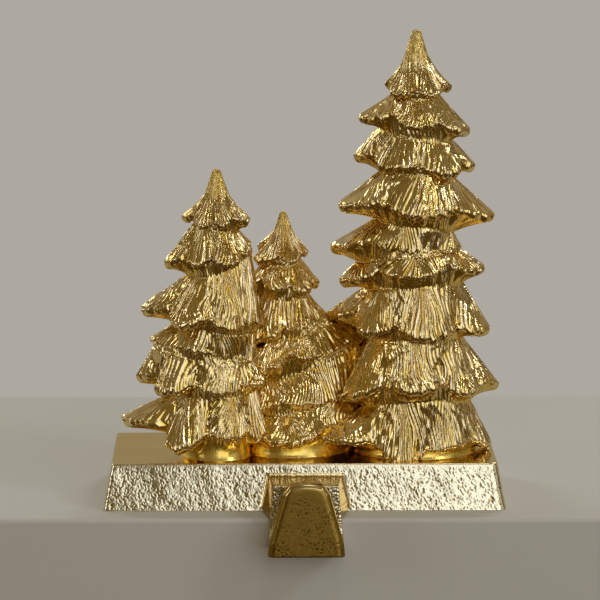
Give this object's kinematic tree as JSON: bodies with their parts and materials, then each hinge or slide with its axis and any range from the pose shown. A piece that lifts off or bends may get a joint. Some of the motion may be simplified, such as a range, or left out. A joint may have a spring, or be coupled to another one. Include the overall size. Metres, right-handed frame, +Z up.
{
  "type": "mantel stocking holder",
  "caption": "Weighted mantel stocking holder: fir trees on a drafted bar, with a wide lipped hook that hangs over the shelf's front edge to carry a stocking.",
  "frame": {"origin": "middle of the bar's flat underside, where it rests on the shelf", "axes": "+X to the right seen from the front, +Y to the back, +Z up; the hook is at -Y and reaches below the underside"},
  "size_m": [0.165, 0.11, 0.2058],
  "materials": {
    "gold_plate": "bright gold plating on a cast body, hammered on the bar's sides"
  },
  "bodies": {
    "root": {"stocking_holder": "gold_plate"}
  },
  "joints": []
}
